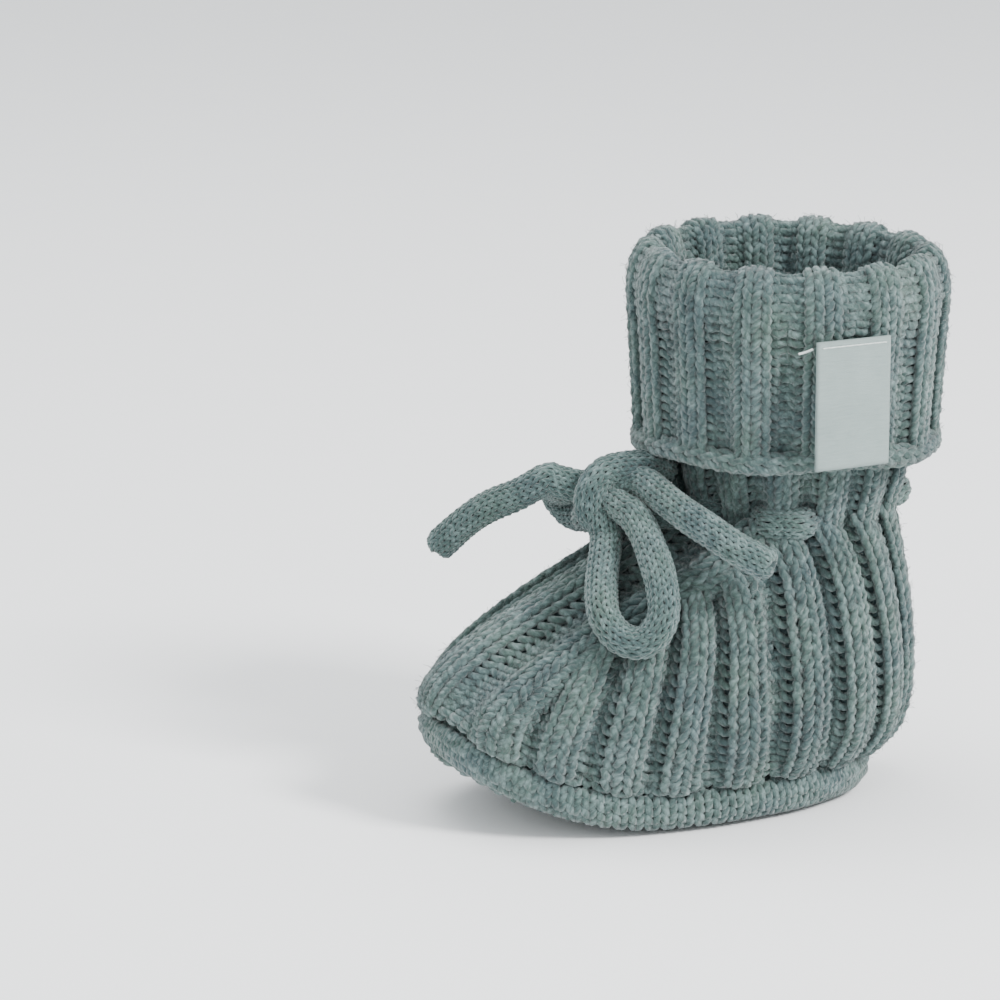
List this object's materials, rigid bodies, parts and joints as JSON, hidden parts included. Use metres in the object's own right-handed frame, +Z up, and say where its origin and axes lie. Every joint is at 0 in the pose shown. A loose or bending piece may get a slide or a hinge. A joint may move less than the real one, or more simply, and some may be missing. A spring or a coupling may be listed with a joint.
{
  "type": "baby bootie",
  "caption": "Soft ribbed knit baby bootie with a folded cuff, a drawcord tied in a bow at the ankle and a small plain sewn-on label.",
  "frame": {"origin": "on the flat underside of the sole, under the arch, in the bootie's middle plane", "axes": "+X towards the side with the label, +Y towards the heel, +Z up the leg"},
  "size_m": [0.0667, 0.1063, 0.108],
  "materials": {
    "knit": "heathered sage-grey wool in two-by-two rib",
    "seam_yarn": "joining yarn lying in the seam groove",
    "bind_off": "chain of bound-off stitches",
    "cord": "fine round knitted cord",
    "label_tape": "woven pale tape, matt with a faint sheen",
    "label_thread": "pale sewing thread"
  },
  "bodies": {
    "foot": {"sole": "knit", "sole_seam": "seam_yarn", "near_side_panel": "knit", "far_side_panel": "knit", "instep_flap": "knit", "near_flap_seam": "seam_yarn", "far_flap_seam": "seam_yarn", "back_seam": "seam_yarn", "leg_tube": "knit", "drawcord": "cord", "bow_knot": "cord"},
    "cuff": {"cuff": "knit", "cuff_edge": "bind_off", "label_tack": "label_thread"},
    "label": {"label": "label_tape", "label_thread": "label_thread"},
    "near_loop": {"near_loop": "cord"},
    "far_loop": {"far_loop": "cord"},
    "near_tail": {"near_tail": "cord"},
    "far_tail": {"far_tail": "cord"}
  },
  "joints": [
    {"name": "cuff_slide", "type": "slide", "parent": "foot", "child": "cuff", "axis": [0, 0, 1], "range_m": [0, 0.015]},
    {"name": "label_flip", "type": "hinge", "parent": "cuff", "child": "label", "pos_m": [0.032, 0.019, 0.0955], "axis": [0, -1, 0], "range_deg": [0, 150]},
    {"name": "near_loop_swing", "type": "hinge", "parent": "foot", "child": "near_loop", "pos_m": [0, -0.0189, 0.062], "axis": [-1, 0, 0], "range_deg": [0, 40], "stiffness_Nm_per_rad": 0.003},
    {"name": "far_loop_swing", "type": "hinge", "parent": "foot", "child": "far_loop", "pos_m": [0, -0.0189, 0.062], "axis": [0, 1, 0], "range_deg": [-3, 40], "stiffness_Nm_per_rad": 0.003},
    {"name": "near_tail_swing", "type": "hinge", "parent": "foot", "child": "near_tail", "pos_m": [0, -0.0189, 0.062], "axis": [0, 0, 1], "range_deg": [-25, 3], "stiffness_Nm_per_rad": 0.003},
    {"name": "far_tail_swing", "type": "hinge", "parent": "foot", "child": "far_tail", "pos_m": [0, -0.0189, 0.062], "axis": [1, 0, 0], "range_deg": [-25, 15], "stiffness_Nm_per_rad": 0.003}
  ]
}
